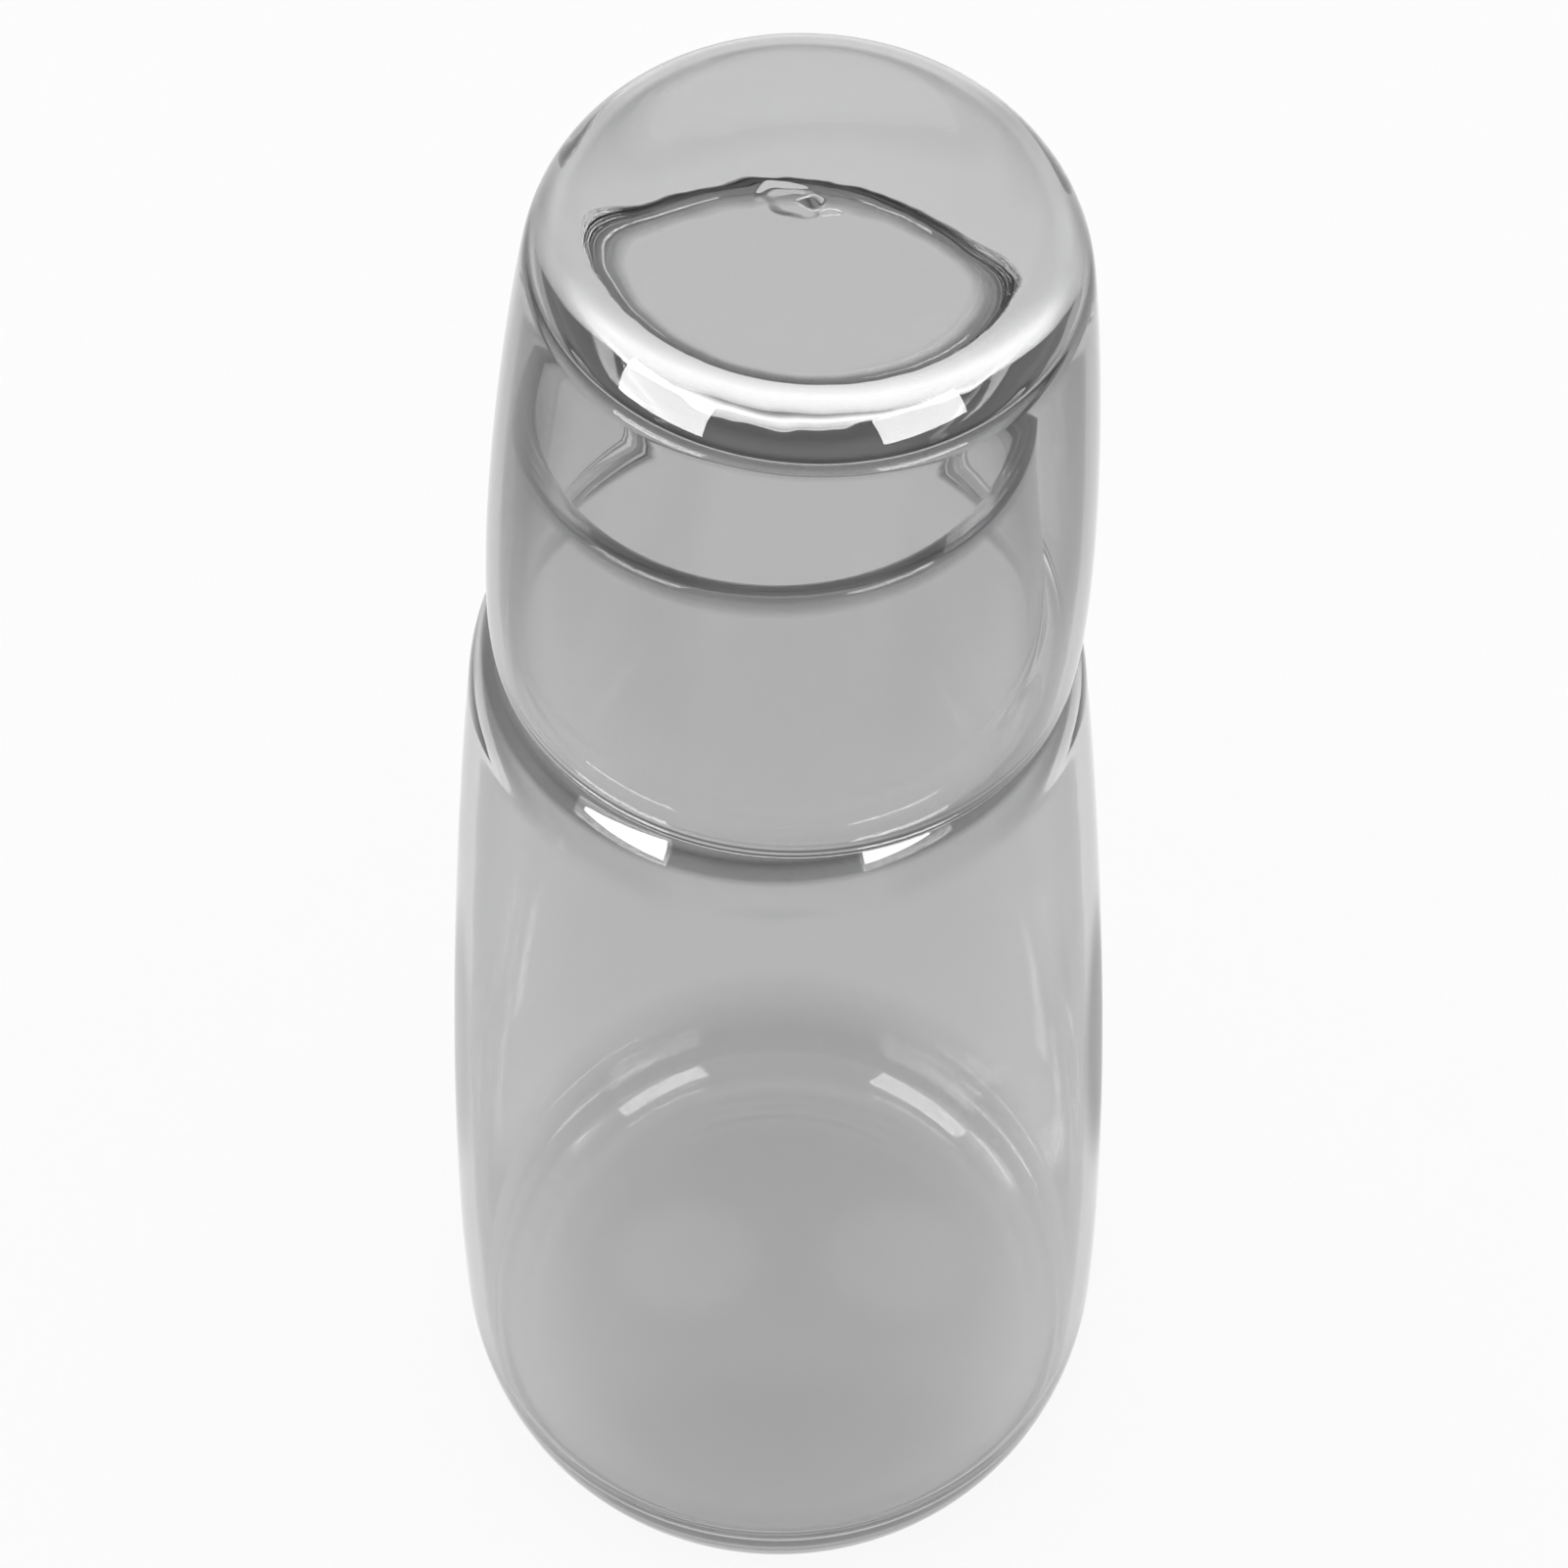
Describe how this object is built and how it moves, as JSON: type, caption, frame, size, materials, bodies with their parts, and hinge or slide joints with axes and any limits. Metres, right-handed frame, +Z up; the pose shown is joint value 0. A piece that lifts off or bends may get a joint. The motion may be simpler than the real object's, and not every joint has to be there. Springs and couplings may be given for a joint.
{
  "type": "carafe with tumbler",
  "caption": "Smoke-grey glass carafe, gently narrowing to a short wide neck, with a drinking tumbler turned over the neck as its cover.",
  "frame": {"origin": "middle of the carafe's bearing ring, on the surface it stands on", "axes": "+Z up along the carafe's axis; the tumbler leans slightly towards +X"},
  "size_m": [0.0912, 0.0912, 0.2404],
  "materials": {
    "smoke_glass": "clear smoke-grey glass, fire polished, smooth and glossy"
  },
  "bodies": {
    "carafe": {"carafe": "smoke_glass"},
    "tumbler": {"tumbler": "smoke_glass"}
  },
  "joints": [
    {"name": "tumbler_lift", "type": "slide", "parent": "carafe", "child": "tumbler", "axis": [0, 0, 1], "range_m": [0, 0.06]}
  ]
}
